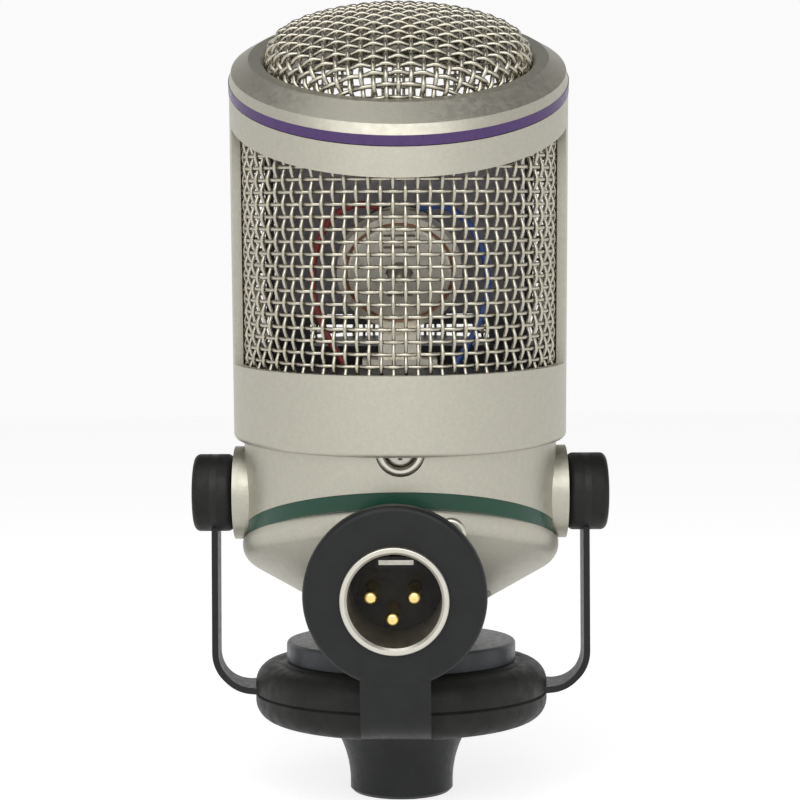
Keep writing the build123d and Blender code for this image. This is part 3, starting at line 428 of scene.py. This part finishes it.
def closest_twist(vertices, low, high):
    """How many sides the last ring of a closed wire is turned from its first ring."""
    start = vertices[low]
    return min(range(WIRE_SIDES), key=lambda k: (vertices[high + k] - start).length)


def finished(piece, body, slot, *nodes):
    """Gives a new piece the material of its slot and its body, and hides the CAD nodes that it
    stands for.
    """
    piece.data.materials.append(MATERIALS[slot])
    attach(piece, body)
    if nodes:
        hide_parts(*nodes)


# ---- woven side mesh ---------------------------------------------------------------
def mesh_top(angle, radius):
    """Height of the slanted top above a point of the side mesh; angle 0 is across, to +X."""
    forward = radius * sin(angle)
    return RING_LOW_H + forward * tan(TOP_SLANT)


def side_point(angle, radius, height):
    return mic(radius * cos(angle), height, -radius * sin(angle))


def weave_side_mesh():
    """Upright wires and rings of plain weave: neighbours pass on opposite sides."""
    step = 2 * pi / SIDE_WIRES
    uprights = []
    for wire in range(SIDE_WIRES):
        angle = wire * step
        cells = (mesh_top(angle, MESH_R) - MESH_LOW_H) / ROW_PITCH
        points = []
        for i in range(int(cells * CELL_STEPS) + 1):
            row = i / CELL_STEPS
            swing = WEAVE * cos(pi * (row + wire))
            points.append(side_point(angle, MESH_R + swing, MESH_LOW_H + row * ROW_PITCH))
        uprights.append((points, False))
    tall = (mesh_top(pi / 2, MESH_R) - MESH_LOW_H) / ROW_PITCH
    rings = []
    for row in range(int(tall) + 1):
        height = MESH_LOW_H + row * ROW_PITCH
        points = []
        for i in range(SIDE_WIRES * CELL_STEPS):
            wire = i / CELL_STEPS
            angle = wire * step
            swing = -WEAVE * cos(pi * (row + wire))
            if height < mesh_top(angle, MESH_R) - WIRE_R:
                points.append((i, side_point(angle, MESH_R + swing, height)))
        rings += ring_runs(points, SIDE_WIRES * CELL_STEPS)
    finished(tubes("side_mesh_uprights", uprights, WIRE_R), "microphone", "mesh_wire", "side_mesh")
    finished(tubes("side_mesh_rings", rings, WIRE_R), "microphone", "mesh_wire")


def ring_runs(numbered, whole):
    """A full ring as one closed path, or the open stretch left under the slanted top."""
    if len(numbered) == whole:
        return [([p for _, p in numbered], True)]
    start = 0
    for i, (number, _) in enumerate(numbered):
        if number != numbered[i - 1][0] + 1:
            start = i
    turned = numbered[start:] + numbered[:start]
    points = [p for _, p in turned]
    return [(points, False)] if len(points) > 2 else []


# ---- woven dome ----------------------------------------------------------------------
def dome_spans():
    """Arc lengths from the crown to the knuckle, to the upright wall and to the wall's foot."""
    turn = asin((DOME_WALL_R - DOME_KNUCKLE_R) / (DOME_CROWN_R - DOME_KNUCKLE_R))
    shoulder = DOME_TOP - DOME_CROWN_R + (DOME_CROWN_R - DOME_KNUCKLE_R) * cos(turn)
    to_knuckle = DOME_CROWN_R * turn
    to_wall = to_knuckle + DOME_KNUCKLE_R * (pi / 2 - turn)
    return turn, shoulder, to_knuckle, to_wall, to_wall + shoulder


def dome_section(run):
    """Radius, height and the surface's lean at an arc length from the crown."""
    turn, shoulder, to_knuckle, to_wall, _ = dome_spans()
    if run < to_knuckle:
        lean = run / DOME_CROWN_R
        return DOME_CROWN_R * sin(lean), DOME_TOP - DOME_CROWN_R * (1 - cos(lean)), lean
    if run < to_wall:
        lean = turn + (run - to_knuckle) / DOME_KNUCKLE_R
        radius = DOME_WALL_R - DOME_KNUCKLE_R * (1 - sin(lean))
        return radius, shoulder + DOME_KNUCKLE_R * cos(lean), lean
    return DOME_WALL_R, shoulder - (run - to_wall), pi / 2


def dome_point(across, forward, swing):
    """Point of the woven sheet laid over the dome, raised by swing along the surface's normal."""
    radius, height, lean = dome_section(hypot(across, forward))
    heading = atan2(forward, across)
    radius += swing * sin(lean)
    origin = PIVOT + UP * RING_TOP_H + TOP_FORWARD * DOME_SHIFT
    flat = ACROSS * cos(heading) + TOP_FORWARD * sin(heading)
    return origin + flat * radius + TOP_UP * (height + swing * cos(lean))


def weave_dome():
    """Two families of wires, one across and one fore and aft, over the crown and down the wall."""
    reach = dome_spans()[-1] - DOME_WIRE_R
    across, forward = [], []
    for wire in range(-int(reach / DOME_PITCH), int(reach / DOME_PITCH) + 1):
        offset = wire * DOME_PITCH
        steps = int(sqrt(reach**2 - offset**2) / DOME_PITCH * CELL_STEPS)
        if steps < CELL_STEPS:
            continue
        runs = [i / CELL_STEPS for i in range(-steps, steps + 1)]
        swings = [DOME_WEAVE * cos(pi * (run + wire)) for run in runs]
        along = [run * DOME_PITCH for run in runs]
        across.append(([dome_point(u, offset, w) for u, w in zip(along, swings)], False))
        forward.append(([dome_point(offset, v, -w) for v, w in zip(along, swings)], False))
    across_wires = tubes("dome_wires_across", across, DOME_WIRE_R)
    forward_wires = tubes("dome_wires_forward", forward, DOME_WIRE_R)
    finished(across_wires, "microphone", "mesh_wire", "dome_mesh")
    finished(forward_wires, "microphone", "mesh_wire")


# ---- cloth of the pop screen -----------------------------------------------------------
def stretch_cloth():
    """Thin cloth held flat in its frame, with the slight waves of the weave."""
    low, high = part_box("pop_screen_cloth")
    middle = (low + high) / 2
    width = high.x - low.x - CLOTH_TRIM_ACROSS
    cad_height = (high.z - low.z) / cos(REST_TILT) - CLOTH_THICKNESS * tan(REST_TILT)
    height = cad_height - CLOTH_TRIM_UP
    columns, rows = 60, 40
    vertices, faces = [], []
    for side in (1, -1):
        for j in range(rows + 1):
            for i in range(columns + 1):
                u = (i / columns - 0.5) * width
                v = (j / rows - 0.5) * height
                wave = CLOTH_WAVE * sin(u / MM * 0.5) * sin(v / MM * 0.37)
                vertices.append(middle + ACROSS * u + UP * v + BACK * (wave + side * CLOTH_HALF))
    layer = (columns + 1) * (rows + 1)
    for j in range(rows):
        for i in range(columns):
            a = j * (columns + 1) + i
            quad = (a, a + 1, a + columns + 2, a + columns + 1)
            faces.append(quad)
            faces.append(tuple(layer + k for k in reversed(quad)))
    border = list(range(columns + 1))
    border += [(j + 1) * (columns + 1) - 1 for j in range(1, rows + 1)]
    border += [rows * (columns + 1) + i for i in reversed(range(columns))]
    border += [j * (columns + 1) for j in reversed(range(1, rows))]
    for a, b in zip(border, border[1:] + border[:1]):
        faces.append((b, a, layer + a, layer + b))
    cloth = new_piece("pop_cloth", vertices, faces)
    finished(cloth, "microphone", "grey_cloth", "pop_screen_cloth")


# ---- CAD nodes keep their shape and get their slot's finish -------------------------------
def dress_cad_nodes():
    for part in frame["record"]["subparts"]:
        node = frame["nodes"][part["node"]]
        node.data.materials.clear()
        node.data.materials.append(MATERIALS[part["material_slot"]])


place_camera()
MATERIALS = make_materials()
make_studio()
dress_cad_nodes()
weave_side_mesh()
weave_dome()
stretch_cloth()
